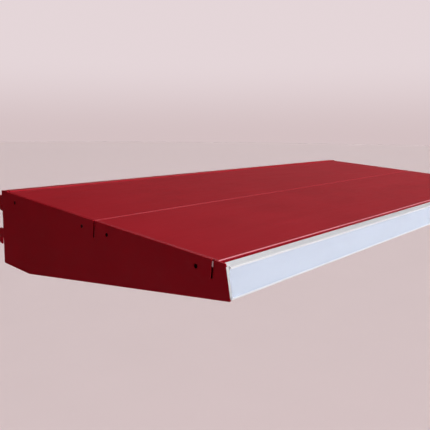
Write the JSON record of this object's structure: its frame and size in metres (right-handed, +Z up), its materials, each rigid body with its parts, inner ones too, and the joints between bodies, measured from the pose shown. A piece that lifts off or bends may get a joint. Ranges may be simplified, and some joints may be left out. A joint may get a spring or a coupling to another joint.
{
  "type": "gondola shop shelf",
  "caption": "Sloping sheet-steel shop shelf on tapered hook-in side brackets, with a lift-off two-part deck and a price rail along its front edge.",
  "frame": {"origin": "mid-length, on the front plane of the uprights that the shelf hooks into, level with the brackets' rear top corners", "axes": "+X to the right along the shelf, +Y back towards the uprights, +Z up; the front is at -Y"},
  "size_m": [0.998, 0.4533, 0.1119],
  "materials": {
    "red_powder_coat": "semi-gloss ruby red powder coat with a fine orange peel",
    "dark_steel": "black oxide",
    "white_pvc": "satin extruded white plastic",
    "clear_pvc": "clear, glossy, with faint drawing lines",
    "foam_tape": "matt closed-cell foam",
    "label_card": "smooth matt card, blank"
  },
  "bodies": {
    "frame": {"left_bracket": "red_powder_coat", "right_bracket": "red_powder_coat", "left_hook_plate": "red_powder_coat", "right_hook_plate": "red_powder_coat", "rear_crossbar": "red_powder_coat", "left_panel_studs": "dark_steel", "right_panel_studs": "dark_steel"},
    "rear_panel": {"rear_deck_panel": "red_powder_coat", "rear_stiffener": "red_powder_coat"},
    "front_panel": {"front_deck_panel": "red_powder_coat", "front_stiffener": "red_powder_coat", "price_rail": "white_pvc", "rail_tape": "foam_tape"},
    "cover": {"rail_cover": "clear_pvc"},
    "label": {"label_strip": "label_card"}
  },
  "joints": [
    {"name": "rear_panel_lift", "type": "slide", "parent": "frame", "child": "rear_panel", "axis": [0, -0.0698, 0.9976], "range_m": [0, 0.06]},
    {"name": "front_panel_lift", "type": "slide", "parent": "frame", "child": "front_panel", "axis": [0, -0.0698, 0.9976], "range_m": [0, 0.06]},
    {"name": "cover_hinge", "type": "hinge", "parent": "front_panel", "child": "cover", "pos_m": [0, -0.43696, -0.03592], "axis": [-1, 0, 0], "range_deg": [0, 100]},
    {"name": "label_slide", "type": "slide", "parent": "front_panel", "child": "label", "axis": [1, 0, 0], "range_m": [-0.95, 0.95]}
  ]
}
